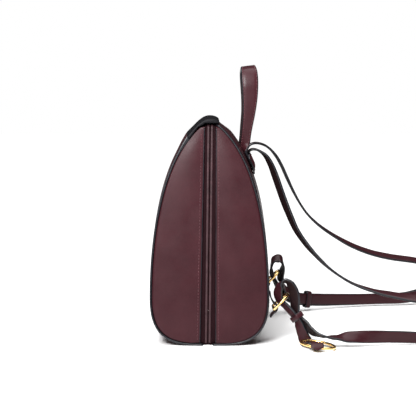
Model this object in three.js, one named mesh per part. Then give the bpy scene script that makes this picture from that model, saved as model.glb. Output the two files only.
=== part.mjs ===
// A leather backpack with a pointed-arch side, split by a zip that runs up one
// side, over the ridge and down the other, so the front half swings forward.
// Millimetres, +Z up. The origin is under the middle of the base; the front
// faces -Y and the side that rests on the wearer faces +Y. "r" is the +X side.
import * as THREE from 'three';
import { mergeVertices } from 'three/addons/utils/BufferGeometryUtils.js';

// ---- driving dimensions -------------------------------------------------
const BASE_HALF_WIDTH = 115;     // half the width across the base
const SIDE_LEAN = 0.1285;        // how far each side leans in per mm of height
const LEATHER = 2.2;             // thickness of the body leather
const LINING = 0.9;              // thickness of the lining
const GAP = 0.35;                // clearance between touching pieces
const BINDING = 2.6;             // thickness and width of the black edge binding
const GUSSET_INSET = 1.2;        // side panels sit this far inside the binding
const ZIP_ROOF = 278.4;          // height of the zip where it crosses the ridge
const SPLIT_Y = -2.2;            // where the two halves part at the base
const SPLIT_LEAN = 0.0118;       // the parting plane leans back per mm of height
const STRAP_WIDTH = 16;
const STRAP_THICK = 3;
const RING_WIRE = 1.7;           // radius of the wire of rings and buckles
const SIDES = [['r', 1], ['l', -1]];

const COLOUR = {
  leather: 0x5c3a42,
  dark: 0x121113,
  lining: 0x3a2b2c,
  zip: 0x54242c,
  brass: 0xc9a05a,
  board: 0x6b5a48,
};

const v2 = (x, y) => new THREE.Vector2(x, y);
const v3 = (x, y, z) => new THREE.Vector3(x, y, z);
const halfWidth = (z) => BASE_HALF_WIDTH - SIDE_LEAN * z;
const splitY = (z) => SPLIT_Y + SPLIT_LEAN * z;
const zipHalf = (z) => 9.7 - 0.009 * z;
const ramp = (a, b, x) => THREE.MathUtils.smoothstep(x, a, b);

const backpack = new THREE.Group();

// ---- solids -------------------------------------------------------------
// Turns the faces outward where the signed volume says that they face in.
function outward(geometry) {
  const bare = geometry.clone();
  bare.deleteAttribute('normal');
  bare.deleteAttribute('uv');
  const solid = mergeVertices(bare, 1e-5);
  const p = solid.attributes.position;
  const index = solid.index.array;
  const [a, b, c] = [v3(), v3(), v3()];
  let volume = 0;
  for (let i = 0; i < index.length; i += 3) {
    a.fromBufferAttribute(p, index[i]);
    b.fromBufferAttribute(p, index[i + 1]);
    c.fromBufferAttribute(p, index[i + 2]);
    volume += a.dot(b.cross(c));
  }
  if (volume < 0) {
    for (let i = 0; i < index.length; i += 3) {
      [index[i], index[i + 1]] = [index[i + 1], index[i]];
    }
  }
  solid.computeVertexNormals();
  return solid;
}

// A closed band: sections[j][i] is a pair of points, outer and inner. With
// loop set, the last section joins the first.
function band(sections, loop = false) {
  const rows = sections.length;
  const columns = sections[0].length;
  const positions = [];
  for (const section of sections) {
    for (const [outer, inner] of section) positions.push(...outer.toArray(), ...inner.toArray());
  }
  const outer = (j, i) => 2 * ((j % rows) * columns + i);
  const inner = (j, i) => outer(j, i) + 1;
  const index = [];
  const quad = (a, b, c, d) => index.push(a, b, c, a, c, d);
  for (let j = 0; j < (loop ? rows : rows - 1); j++) {
    for (let i = 0; i < columns - 1; i++) {
      quad(outer(j, i), outer(j, i + 1), outer(j + 1, i + 1), outer(j + 1, i));
      quad(inner(j, i), inner(j + 1, i), inner(j + 1, i + 1), inner(j, i + 1));
    }
    quad(outer(j, 0), outer(j + 1, 0), inner(j + 1, 0), inner(j, 0));
    const last = columns - 1;
    quad(outer(j, last), inner(j, last), inner(j + 1, last), outer(j + 1, last));
  }
  if (!loop) {
    const end = rows - 1;
    for (let i = 0; i < columns - 1; i++) {
      quad(outer(0, i), inner(0, i), inner(0, i + 1), outer(0, i + 1));
      quad(outer(end, i), outer(end, i + 1), inner(end, i + 1), inner(end, i));
    }
  }
  const geometry = new THREE.BufferGeometry();
  geometry.setAttribute('position', new THREE.Float32BufferAttribute(positions, 3));
  geometry.setIndex(index);
  return outward(geometry);
}

function add(name, geometry, colour, roughness = 0.5, metalness = 0) {
  const material = new THREE.MeshStandardMaterial({ color: colour, roughness, metalness });
  const mesh = new THREE.Mesh(geometry, material);
  mesh.name = name;
  backpack.add(mesh);
  return mesh;
}

// ---- side outline of the body -------------------------------------------
// Half of the pointed arch, from the base up to the ridge, as (depth, height).
const outline = new THREE.CurvePath();
outline.add(new THREE.LineCurve(v2(2, 0), v2(14, 0)));
outline.add(new THREE.CubicBezierCurve(v2(14, 0), v2(56, 0), v2(75.8, 15), v2(75.8, 60)));
outline.add(new THREE.CubicBezierCurve(v2(75.8, 60), v2(75.8, 120), v2(67, 230.5), v2(13, 276.5)));
outline.add(new THREE.LineCurve(v2(13, 276.5), v2(9.4, 277.6)));

// A point of the outline pushed out along its normal; sign -1 is the front.
function outlinePoint(sign, t, push) {
  const p = outline.getPointAt(t);
  const tangent = outline.getTangentAt(t);
  const y = p.x + tangent.y * push;
  const z = p.y - tangent.x * push;
  return { y: sign * y, z };
}

// Where along the outline a height is reached, above the widest place.
function atHeight(z) {
  let [low, high] = [0.3, 1];
  for (let n = 0; n < 40; n++) {
    const middle = (low + high) / 2;
    if (outline.getPointAt(middle).y < z) low = middle;
    else high = middle;
  }
  return low;
}

const steps = (from, to, count) => Array.from({ length: count + 1 }, (_, i) => from + ((to - from) * i) / count);

// Mid-width swell of the body leather, none at the base.
function swell(sign, t) {
  const z = outline.getPointAt(t).y;
  const most = sign > 0 ? 4.2 : 2.0;
  return most * ramp(20, 190, z) * (1 - 0.7 * ramp(262, 277, z));
}

// The front grows thicker towards the ridge, where it meets the ridge cap.
const frontGrowth = (t) => 2.2 * ramp(236, 266, outline.getPointAt(t).y);

// Where a wrap piece starts beside the fold in the base, FOLD_HALF from the
// parting plane.
const FOLD_HALF = 5.8;
const OUTLINE_LENGTH = outline.getLength();
const baseStart = (sign) => (FOLD_HALF + GAP + sign * SPLIT_Y - 2) / OUTLINE_LENGTH;

// A wrap piece across the width: xs are functions of height giving x.
function wrapBand(sign, ts, outerPush, innerPush, xs, swells) {
  return band(xs.map((xAt, j) => ts.map((t) => [outerPush, innerPush].map((pushAt) => {
    const { y, z } = outlinePoint(sign, t, pushAt(t) + swells[j] * swell(sign, t));
    const height = Math.max(z, 0);
    return v3(xAt(height), y, height);
  }))));
}

const FRONT_TOP = atHeight(262);
const WRAP_COLUMNS = 10;
const acrossWrap = steps(-1, 1, WRAP_COLUMNS);
const swellAcross = acrossWrap.map((u) => 1 - u * u);
const across = (inset) => acrossWrap.map((u) => (z) => u * (halfWidth(z) - inset));

// Front and back leather, between the bindings.
add('front_panel', wrapBand(-1, steps(baseStart(-1), FRONT_TOP, 26), frontGrowth, (t) => frontGrowth(t) - LEATHER,
  across(BINDING + GAP), swellAcross), COLOUR.leather);
add('back_panel', wrapBand(1, steps(baseStart(1), 1, 28), () => 0, () => -LEATHER,
  across(BINDING + GAP), swellAcross), COLOUR.leather);

// Lining against the inside of the leather.
const liningOuter = -LEATHER - 2 * GAP;
add('lining_front', wrapBand(-1, steps(0.04, FRONT_TOP - 0.02, 16), () => liningOuter, () => liningOuter - LINING,
  across(GUSSET_INSET + LEATHER + 2.4), swellAcross), COLOUR.lining, 0.9);
add('lining_back', wrapBand(1, steps(0.04, 0.965, 16), () => liningOuter, () => liningOuter - LINING,
  across(GUSSET_INSET + LEATHER + 2.4), swellAcross), COLOUR.lining, 0.9);

// Black bindings round the ends of the leather, outside the side panels.
for (const [suffix, side] of SIDES) {
  const rim = [(z) => side * (halfWidth(z) - BINDING), (z) => side * halfWidth(z)];
  add(`binding_front_${suffix}`, wrapBand(-1, steps(baseStart(-1), FRONT_TOP, 26), frontGrowth,
    (t) => -BINDING - 1.2 * ramp(236, 266, outline.getPointAt(t).y), rim, [0, 0]), COLOUR.dark);
  add(`binding_back_${suffix}`, wrapBand(1, steps(baseStart(1), 0.995, 28), () => 0, () => -BINDING,
    rim, [0, 0]), COLOUR.dark);
}

// ---- side panels ---------------------------------------------------------
// A flat piece parallel to a side, from an outline of (y, z) points.
function sideSlab(side, points, inset, thickness) {
  const shape = new THREE.Shape(points);
  const geometry = new THREE.ExtrudeGeometry(shape, { depth: 1, bevelEnabled: false });
  const p = geometry.attributes.position;
  for (let i = 0; i < p.count; i++) {
    const [y, z, depth] = [p.getX(i), p.getY(i), p.getZ(i)];
    p.setXYZ(i, side * (halfWidth(z) - inset - thickness * depth), y, z);
  }
  return outward(geometry);
}

function gussetOutline(sign, push, topHeight, zipGap) {
  const ts = steps(0.05, atHeight(topHeight), 24);
  const rim = ts.map((t) => outlinePoint(sign, t, push)).map(({ y, z }) => v2(y, z));
  const zipEdge = (z) => v2(splitY(z) + sign * (zipHalf(z) + zipGap), z);
  const top = rim[rim.length - 1];
  return [...rim, zipEdge(top.y), zipEdge(rim[0].y)];
}

for (const [half, sign] of [['front', -1], ['back', 1]]) {
  for (const [suffix, side] of SIDES) {
    add(`gusset_${half}_${suffix}`, sideSlab(side, gussetOutline(sign, -BINDING - 2 * GAP - (sign < 0 ? 0.6 : 0), 275.5, 0),
      GUSSET_INSET, LEATHER), COLOUR.leather);
    add(`lining_side_${half}_${suffix}`, sideSlab(side, gussetOutline(sign, -BINDING - 3, 262, 6),
      GUSSET_INSET + LEATHER + GAP, LINING), COLOUR.lining, 0.9);
  }
}

// ---- zip -------------------------------------------------------------------
// A strip that runs up one side, over the ridge and down the other, between two
// distances from the parting plane.
const ZIP_FOOT = 3.2;
const tapeEdge = (z) => (z > 262 ? 6.8 : 13);
function zipStrip(sign, near, far, inset, thickness) {
  const top = ZIP_ROOF - inset;
  const corner = 7;
  const flank = (z, extra) => halfWidth(z) - inset - 3 - extra;
  const trace = (extra) => {
    const points = [v2(flank(ZIP_FOOT, extra), ZIP_FOOT)];
    for (const turn of steps(0, Math.PI / 2, 5)) {
      const shoulder = flank(top - corner, extra);
      const reach = corner - extra;
      points.push(v2(shoulder - reach * (1 - Math.cos(turn)), top - corner + reach * Math.sin(turn)));
    }
    return points;
  };
  const outer = trace(0);
  const inner = trace(thickness);
  const mirrored = (points) => points.map((p) => v2(-p.x, p.y)).reverse();
  const outerLine = [...outer, ...mirrored(outer)];
  const innerLine = [...inner, ...mirrored(inner)];
  const at = (p, offset) => v3(p.x, splitY(p.y) + sign * offset, p.y);
  return band([() => near, far].map((offset) => outerLine.map((p, i) => [
    at(p, offset(p.y)), at(innerLine[i], offset(p.y))])));
}

for (const [half, sign] of [['front', -1], ['back', 1]]) {
  add(`zip_tape_${half}`, zipStrip(sign, GAP, tapeEdge, 1.2, 0.9), COLOUR.zip, 0.8);
  add(`zip_coil_${half}`, zipStrip(sign, 0.5, () => 3.6, 0, 0.9), COLOUR.zip, 0.6);
}

// ---- ridge cap ---------------------------------------------------------------
// Black leather over the zip at the ridge, carried by the front half.
const capStart = outlinePoint(-1, FRONT_TOP, frontGrowth(FRONT_TOP));
const capOuter = new THREE.CurvePath();
capOuter.add(new THREE.CubicBezierCurve(v2(capStart.y + 0.3, capStart.z + 0.4), v2(-20, 272.5),
  v2(-11, 285), v2(0, 285.2)));
capOuter.add(new THREE.CubicBezierCurve(v2(0, 285.2), v2(5, 285.3), v2(9.5, 284), v2(12.4, 281.4)));
const capInner = new THREE.CurvePath();
capInner.add(new THREE.LineCurve(v2(capStart.y + 3.6, capStart.z - 1.8), v2(-14, 277)));
capInner.add(new THREE.LineCurve(v2(-14, 277), v2(-11.5, ZIP_ROOF + 0.5)));
capInner.add(new THREE.LineCurve(v2(-11.5, ZIP_ROOF + 0.5), v2(12.4, ZIP_ROOF + 0.8)));
const capSections = steps(-1, 1, 8).map((u) => steps(0, 1, 18).map((t) => {
  const rise = (1 - u * u) * (1.3 + 0.7 * (1 - ramp(0, 0.3, t)));
  const [outer, inner] = [capOuter.getPointAt(t), capInner.getPointAt(t)];
  const lift = rise * (t < 0.35 ? 1 - t / 0.35 : 0);
  return [
    v3(u * halfWidth(outer.y), outer.x - rise * 0.6 * (1 - t), outer.y + rise * 0.8),
    v3(u * halfWidth(inner.y), inner.x - lift * 0.6, inner.y + lift * 0.8),
  ];
}));
add('ridge_cap', band(capSections), COLOUR.dark);

// ---- inside ------------------------------------------------------------------
function box(width, depth, height, x, y, z) {
  const geometry = new THREE.BoxGeometry(width, depth, height);
  geometry.translate(x, y, z);
  return outward(geometry);
}

add('base_fold', box(2 * (halfWidth(0) - 7.5), 2 * FOLD_HALF, LEATHER, 0, SPLIT_Y, LEATHER / 2), COLOUR.leather);
add('base_board', box(190, 20, 2, 0, 19, 6.4), COLOUR.board, 0.9);
// A slip pocket that stands against the back lining.
const pocket = steps(-1, 1, 6).map((u) => steps(atHeight(64), atHeight(178), 6).map((t) => {
  const gap = LEATHER + GAP + LINING + GAP + 0.6 * (1 - u * u);
  const crown = (1 - u * u) * swell(1, t);
  const outer = outlinePoint(1, t, crown - gap - 0.4);
  const inner = outlinePoint(1, t, crown - gap - 1.4);
  return [v3(70 * u, outer.y, outer.z), v3(70 * u, inner.y, inner.z)];
}));
add('inner_pocket', band(pocket), COLOUR.lining, 0.9);

// ---- ribbons of leather ---------------------------------------------------------
// A flat strap along hand-placed stations [x, y, z, width direction].
function ribbon(stations, widthAt, thickness, count) {
  const path = new THREE.CatmullRomCurve3(stations.map(([x, y, z]) => v3(x, y, z)), false, 'centripetal');
  const lean = stations.map(([, , , w]) => v3(...w).normalize());
  const sections = steps(0, 1, count).map((t) => {
    const place = t * (stations.length - 1);
    const i = Math.min(Math.floor(place), stations.length - 2);
    const tangent = path.getTangent(t);
    const across = lean[i].clone().lerp(lean[i + 1], ramp(0, 1, place - i));
    across.addScaledVector(tangent, -across.dot(tangent)).normalize();
    const face = v3().crossVectors(across, tangent);
    const centre = path.getPoint(t);
    const half = widthAt(t) / 2;
    const at = (w, f) => centre.clone().addScaledVector(across, w * half).addScaledVector(face, f * thickness / 2);
    return [[at(-1, 1), at(-1, -1)], [at(1, 1), at(1, -1)]];
  });
  return band(sections);
}

// A point over the back leather: height there, and distance away from it.
function overBack(x, height, away) {
  const t = atHeight(height);
  const crown = (1 - (x / halfWidth(height)) ** 2) * swell(1, t);
  const { y, z } = outlinePoint(1, t, away + crown);
  return v3(x, y, z);
}

// Back yoke: a leather patch over the sewn roots of the handle and the straps.
// It lies on the back along its lower edge and stands off it at its mouth.
const YOKE_HALF = 54;
const yoke = steps(-1, 1, 8).map((u) => [213, 218, 223, 228, 233].map((height) => {
  const lift = 0.4 + 4.4 * ramp(211, 222, height);
  return [overBack(YOKE_HALF * u, height, lift + 1.8), overBack(YOKE_HALF * u, height, lift)];
}));
add('back_yoke', band(yoke), COLOUR.leather);

// ---- handle ------------------------------------------------------------------------
const HANDLE_HALF = 42;
const HANDLE_TOP = 351;
const handleLeg = (side) => [
  [side * HANDLE_HALF, 47.2, 253.6, [0, 1, 0]],
  [side * (HANDLE_HALF + 0.6), 48.8, 270, [0, 1, 0]],
  [side * (HANDLE_HALF + 1.2), 51.6, 291, [0, 1, 0]],
  [side * (HANDLE_HALF + 1), 52.8, 311, [0, 1, 0]],
  [side * (HANDLE_HALF - 0.5), 52.5, 330, [0, 1, 0]],
  [side * (HANDLE_HALF - 6), 51.6, 344.5, [0, 1, 0.08]],
  [side * (HANDLE_HALF - 16), 51.2, HANDLE_TOP - 2.4, [0, 1, 0.12]],
];
// Narrow at the feet, widest below the grip.
const handleWidth = (t) => 12.5 + 9 * ramp(0, 0.3, Math.min(t, 1 - t)) - 2.5 * ramp(0.3, 0.42, Math.min(t, 1 - t));
add('handle', ribbon([...handleLeg(1), ...handleLeg(-1).reverse()], handleWidth, 3.6, 36), COLOUR.leather);

// ---- shoulder straps ---------------------------------------------------------------
// Each strap leaves the yoke, runs back, turns over on the ground, comes back to
// the buckle and keeper, loops through the ring by the base and returns to the
// buckle. The stations are hand-placed along its middle. Its root lies on the back
// leather, under the yoke.
const rooted = (x) => [223.5, 229, 234.5].map((height) => {
  const { y, z } = overBack(x, height, 0.4 + STRAP_THICK / 2);
  return [x, y, z, [1, 0, 0]];
});
const rightStrap = [
  ...rooted(25),
  [25, 51.6, 240.6, [1, 0, 0]],
  [25.2, 55.4, 243, [1, 0, 0]],
  [25.6, 60.6, 243, [1, 0.05, 0]],
  [26.2, 66.6, 240.4, [1, 0.15, 0]],
  [27.2, 73.6, 234.6, [1, 0.3, 0]],
  [29, 79.8, 224.6, [1, 0.4, 0]],
  [31.4, 85.8, 209.6, [1, 0.5, 0]],
  [34.4, 91.2, 194, [1, 0.5, 0]],
  [38, 97.6, 175.8, [1, 0.5, 0]],
  [43, 104.8, 157.7, [1, 0.45, 0]],
  [48, 113, 139.6, [1, 0.4, 0]],
  [54, 125.4, 121.6, [1, 0.3, 0.1]],
  [61, 142.6, 102.6, [1, 0.15, 0.1]],
  [66, 159, 88.2, [1, 0.05, 0.08]],
  [70.6, 182.8, 73.4, [1, 0, 0.05]],
  [76, 208, 64.6, [1, 0, -0.05]],
  [82, 234, 59.6, [1, 0, -0.25]],
  [88, 264, 55.8, [1, 0, -0.5]],
  [94, 300, 52.4, [1, 0, -0.5]],
  [100, 334, 48.6, [1, 0, -0.1]],
  [104, 356, 38, [1, 0, 0]],
  [105, 362, 24, [1, 0, 0]],
  [106, 352, 9, [1, 0, 0]],
  [107, 330, 4.2, [1, 0, 0.1]],
  [108, 298, 6.4, [1, 0, 0.7]],
  [110, 262, 9.8, [0.3, 0, 1]],
  [113, 230, 11.5, [0.2, 0, 1]],
  [117, 203, 12.4, [-0.1, 0, 1]],
  [119.5, 178, 12.6, [-0.65, 0, 0.75]],
  [119, 158, 11.8, [-1, 0, 0.05]],
  [116.5, 141, 13.4, [-0.95, -0.05, -0.3]],
  [111.5, 128.6, 18.6, [-0.85, -0.25, -0.5]],
  [105.6, 120.6, 26.4, [-0.85, -0.5, -0.2]],
  [102.4, 115.1, 31.7, [-0.85, -0.5, -0.1]],
  [101.1, 109.8, 39.7, [-0.85, -0.45, -0.1]],
  [101.2, 108.6, 48, [-0.78, -0.6, 0]],
  [101.2, 108.2, 57, [-0.74, -0.67, 0]],
  [101, 107.2, 66, [-0.74, -0.67, -0.05]],
  [99.4, 103.4, 74.6, [-0.8, -0.45, -0.4]],
  [97.4, 97.8, 79.2, [-0.87, 0, -0.5]],
  [95.8, 92.6, 77.4, [-0.95, -0.05, -0.25]],
  [94.6, 89.2, 71.5, [-0.85, -0.45, 0]],
  [93.8, 87.4, 63.5, [-0.8, -0.6, 0]],
  [94.4, 89.4, 55.5, [-0.82, -0.57, 0]],
  [98, 97.6, 47, [-0.85, -0.52, 0]],
  [102.2, 106.1, 38, [-0.85, -0.45, -0.1]],
  [104.2, 112.2, 30, [-0.85, -0.5, -0.1]],
  [105.4, 115, 22, [-0.75, -0.65, -0.15]],
  [106.8, 117.8, 14.4, [-0.6, -0.75, -0.2]],
  [108.8, 120.8, 6.6, [-0.35, -0.92, -0.1]],
  [113.6, 124, 2, [-0.25, -0.97, 0]],
  [121, 127, 1.7, [-0.25, -0.97, 0]],
  [129, 129.8, 3.6, [-0.2, -0.98, 0]],
  [138, 131.6, 8.6, [-0.1, -1, 0]],
  [146.6, 132.4, 10, [-0.05, -1, 0]],
  [151.8, 132.8, 6.8, [-0.05, -1, 0]],
  [153.2, 133, 3.2, [-0.05, -1, 0]],
];
const leftStrap = [
  ...rooted(-25),
  [-25, 51, 241, [1, 0, 0]],
  [-25.1, 54.6, 246.2, [1, 0, 0]],
  [-25.2, 60.2, 248.6, [1, 0, 0]],
  [-25.6, 66.2, 248.6, [1, 0, 0]],
  [-26.6, 74.6, 246, [1, 0, 0]],
  [-28, 82.8, 240.2, [1, 0.05, 0]],
  [-30, 91.1, 230.4, [1, 0.1, 0]],
  [-32, 98.5, 217.4, [1, 0.1, 0]],
  [-35, 106, 201, [1, 0.1, 0]],
  [-38, 114.6, 183, [1, 0.05, 0]],
  [-42, 124.8, 164.7, [1, 0, 0]],
  [-46, 136, 149, [1, 0, 0]],
  [-50.5, 150.6, 134.8, [1, 0, -0.05]],
  [-55, 168, 122, [1, 0, -0.1]],
  [-62, 197, 105, [1, 0, -0.25]],
  [-69, 226, 93, [1, 0, -0.3]],
  [-76, 255, 85.5, [1, 0, -0.35]],
  [-84, 293, 79, [1, 0, -0.35]],
  [-93, 326, 70, [1, 0, 0.1]],
  [-104, 357, 59, [1, 0.3, 0.7]],
  [-117, 383, 49, [0.6, 0.3, 1]],
  [-132, 393, 41, [0, 0, 1]],
  [-148, 389, 33.5, [0, 0, 1]],
  [-158, 377, 28, [0, 0, 1]],
  [-161.6, 362, 24, [0, 0, 1]],
  [-161.9, 346, 21.4, [0, 0, 1]],
  [-161.8, 328, 18.5, [0, 0, 1]],
  [-161.6, 309, 14.5, [0, 0, 1]],
  [-160.4, 288, 11.4, [0, 0, 1]],
  [-156.6, 254, 11, [0, 0, 1]],
  [-149.4, 220.6, 11.6, [0, 0, 1]],
  [-139.4, 188, 13.4, [0, 0, 1]],
  [-126.4, 155.4, 16, [0, 0, 1]],
  [-114, 130, 19.6, [-0.1, 0, 1]],
  [-106.6, 117, 26, [-0.5, 0.1, 0.95]],
  [-101.4, 107.2, 38, [-0.85, 0, 0.4]],
  [-98.8, 102.2, 50, [-0.88, -0.45, 0]],
  [-97.6, 104, 61, [-0.93, -0.3, 0.1]],
  [-97, 105.4, 71, [-0.98, -0.05, 0.2]],
  [-96.5, 100.6, 79.8, [-0.8, 0, 0.6]],
  [-96, 92.6, 78.4, [-0.88, 0, 0.45]],
  [-95.4, 89, 70, [-1, 0, 0.05]],
  [-95, 88.8, 61, [-0.95, 0.25, 0]],
  [-96, 92, 52, [-0.95, 0.2, 0]],
  [-99.6, 99, 38, [-0.9, 0.2, 0.2]],
  [-107.6, 110.6, 25, [-0.5, 0.1, 0.95]],
  [-119, 129, 17, [-0.1, 0, 1]],
  [-130.8, 156.6, 13, [0, 0, 1]],
  [-143.8, 189.6, 11.2, [0, 0, 1]],
  [-153.8, 222, 10.4, [0, 0, 1]],
  [-161, 255, 10.4, [0, 0, 1]],
  [-166.2, 289, 11, [0, 0, 1]],
  [-170.6, 309, 14.5, [0, 0, 1]],
  [-172, 321, 17.4, [0, 0, 1]],
  [-172, 330, 19, [0, 0, 1]],
  [-169.8, 340, 20.6, [0, 0, 1]],
  [-167.8, 349, 21.6, [0, 0, 1]],
  [-167.4, 357, 22.2, [0, 0, 1]],
];
const straps = { r: rightStrap, l: leftStrap };
for (const [suffix] of SIDES) {
  add(`shoulder_strap_${suffix}`, ribbon(straps[suffix], () => STRAP_WIDTH, STRAP_THICK, 120), COLOUR.leather);
}

// ---- rings by the base ----------------------------------------------------------------
// Round wire along a closed path in the plane of two directions.
function wireLoop(points, radius, sides = 6) {
  const path = new THREE.CatmullRomCurve3(points, true, 'centripetal');
  const normal = v3().crossVectors(points[1].clone().sub(points[0]), points[3].clone().sub(points[0])).normalize();
  const count = points.length;
  const positions = [];
  for (let j = 0; j < count; j++) {
    const centre = points[j];
    const tangent = path.getTangent(j / count);
    const out = v3().crossVectors(tangent, normal).normalize();
    for (let k = 0; k < sides; k++) {
      const turn = (2 * Math.PI * (k + 0.5)) / sides;
      const p = centre.clone().addScaledVector(out, radius * Math.cos(turn));
      positions.push(...p.addScaledVector(normal, radius * Math.sin(turn)).toArray());
    }
  }
  const index = [];
  for (let j = 0; j < count; j++) {
    for (let k = 0; k < sides; k++) {
      const at = (row, side) => ((row % count) * sides) + (side % sides);
      index.push(at(j, k), at(j + 1, k), at(j + 1, k + 1), at(j, k), at(j + 1, k + 1), at(j, k + 1));
    }
  }
  const geometry = new THREE.BufferGeometry();
  geometry.setAttribute('position', new THREE.Float32BufferAttribute(positions, 3));
  geometry.setIndex(index);
  return outward(geometry);
}

const RING_HALF = 12.5;                       // half the width of the D-ring wire
const RING_ARM = 12.5;                        // straight part of its arms
const RING_X = 95;
const RING_BAR = v3(0, 81.4, 45.5);           // its bar, which is also its pivot
const RING_TILT = THREE.MathUtils.degToRad(44);
const ringReach = v3(0, Math.cos(RING_TILT), Math.sin(RING_TILT));

for (const [suffix, side] of SIDES) {
  const at = (a, b) => v3(side * RING_X + a, RING_BAR.y, RING_BAR.z).addScaledVector(ringReach, b);
  const points = [
    at(0, 0), at(RING_HALF - 2.5, 0), at(RING_HALF - 0.6, 0.6), at(RING_HALF, 2.5), at(RING_HALF, RING_ARM / 2),
    ...steps(0, Math.PI, 10).map((turn) => at(RING_HALF * Math.cos(turn), RING_ARM + RING_HALF * Math.sin(turn))),
    at(-RING_HALF, RING_ARM / 2), at(-RING_HALF, 2.5), at(-RING_HALF + 0.6, 0.6), at(-RING_HALF + 2.5, 0),
  ];
  add(`d_ring_${suffix}`, wireLoop(points, RING_WIRE), COLOUR.brass, 0.25, 1);

  // Leather tab that wraps the bar and is sewn to the back.
  const x = side * RING_X;
  add(`ring_tab_${suffix}`, ribbon([
    [x, 77.4, 66, [1, 0, 0]],
    [x, 78.4, 59, [1, 0, 0]],
    [x, 81.2, 52.6, [1, 0, 0]],
    [x, 84.8, 49.6, [1, 0, 0]],
    [x, 86.2, 45.6, [1, 0, 0]],
    [x, 84.4, 41.6, [1, 0, 0]],
    [x, 80.6, 38.4, [1, 0, 0]],
    [x, 78, 34, [1, 0, 0]],
  ], () => STRAP_WIDTH, 1.6, 18), COLOUR.leather);
}

// ---- keepers ------------------------------------------------------------------------------
// A small loop round both layers of a strap: middle, direction along the strap,
// width direction, and half sizes across and through the layers.
function keeper(middle, along, across, halfAcross, halfThrough, length, thickness) {
  const t = v3(...along).normalize();
  const w = v3(...across);
  w.addScaledVector(t, -w.dot(t)).normalize();
  const n = v3().crossVectors(w, t);
  const corner = (s, f, grow, l) => v3(...middle).addScaledVector(w, s * (halfAcross + grow))
    .addScaledVector(n, f * (halfThrough + grow)).addScaledVector(t, l);
  const around = [[1, 1], [-1, 1], [-1, -1], [1, -1]];
  const sections = around.map(([s, f]) => [-length / 2, length / 2].map((l) => [
    corner(s, f, thickness, l), corner(s, f, 0, l)]));
  return band(sections, true);
}
add('keeper_r', keeper([102.5, 110.8, 34.9], [-0.2, -0.6, 0.8], [0.85, 0.5, 0.1], 8.8, 4.6, 7.5, 1.3), COLOUR.leather);
add('keeper_l', keeper([-122.4, 142.4, 16.4], [0.42, -0.9, 0.13], [0, 0, 1], 10.6, 4.8, 7.5, 1.3), COLOUR.leather);

// ---- buckles --------------------------------------------------------------------------------
// An oval wire frame.
function buckle(suffix, middle, lengthwise, crosswise, longHalf, shortHalf) {
  const u = v3(...lengthwise).normalize();
  const w = v3(...crosswise);
  w.addScaledVector(u, -w.dot(u)).normalize();
  const turns = steps(0, 2 * Math.PI, 24).slice(0, 24);
  const points = turns.map((turn) => v3(...middle)
    .addScaledVector(u, longHalf * Math.cos(turn)).addScaledVector(w, shortHalf * Math.sin(turn)));
  add(`buckle_${suffix}`, wireLoop(points, RING_WIRE), COLOUR.brass, 0.25, 1);
}
buckle('r', [131.5, 134.8, 5.6], [0.42, 0.907, -0.1], [0.907, -0.42, 0], 22, 15);
buckle('l', [-168.2, 346, 21.4], [0, 1, 0], [0, 0, 1], 20.6, 16.5);

// ---- slider and puller -------------------------------------------------------------------------
// The slider is parked low on the left side, where the zip is closed.
const SLIDER_Z = 40;
const slopeUp = v3(SIDE_LEAN, SPLIT_LEAN, 1).normalize();
const slopeOut = v3(-1, 0, -SIDE_LEAN).normalize();
function onLeftSide(out, y, up) {
  const base = v3(-(halfWidth(SLIDER_Z)), splitY(SLIDER_Z), SLIDER_Z);
  return base.addScaledVector(slopeOut, out).add(v3(0, y, 0)).addScaledVector(slopeUp, up);
}
function leftPlate(outs, ups, halfAt) {
  return band(ups.map((up, j) => [-1, 1].map((s) => [
    onLeftSide(outs[1], s * halfAt[j], up), onLeftSide(outs[0], s * halfAt[j], up)])));
}
add('zip_slider', leftPlate([-2.3, -0.3], [-8, -5, 4, 9], [3.2, 4.4, 5.4, 4.2]), COLOUR.brass, 0.3, 1);
add('zip_puller', leftPlate([0.2, 1.8], [-34, -32, -10, 0, 3], [3.4, 4.4, 3.2, 2.6, 1.8]), COLOUR.brass, 0.3, 1);

export default backpack;
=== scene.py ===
"""A burgundy leather backpack with a pointed-arch side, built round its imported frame.

Sizes are millimetres, and become metres when a mesh is made. The front faces -Y.
"""
import math

import bmesh
import bpy
import numpy as np
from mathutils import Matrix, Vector


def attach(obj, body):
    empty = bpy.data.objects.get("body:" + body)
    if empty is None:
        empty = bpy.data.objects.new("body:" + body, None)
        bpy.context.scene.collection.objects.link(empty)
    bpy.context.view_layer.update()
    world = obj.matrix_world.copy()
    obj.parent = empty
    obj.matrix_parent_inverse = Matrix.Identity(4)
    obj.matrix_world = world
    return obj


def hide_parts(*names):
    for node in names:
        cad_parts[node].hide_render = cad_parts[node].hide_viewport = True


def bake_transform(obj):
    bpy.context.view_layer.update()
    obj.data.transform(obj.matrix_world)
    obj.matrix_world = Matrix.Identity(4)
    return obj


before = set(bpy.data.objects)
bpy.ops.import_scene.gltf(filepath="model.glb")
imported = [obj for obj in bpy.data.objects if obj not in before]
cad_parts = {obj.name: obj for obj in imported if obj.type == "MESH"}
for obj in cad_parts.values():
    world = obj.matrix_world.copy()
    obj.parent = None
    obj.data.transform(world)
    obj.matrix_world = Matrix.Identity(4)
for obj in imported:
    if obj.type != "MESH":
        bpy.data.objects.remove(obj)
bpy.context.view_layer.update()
MM = 0.001

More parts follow.
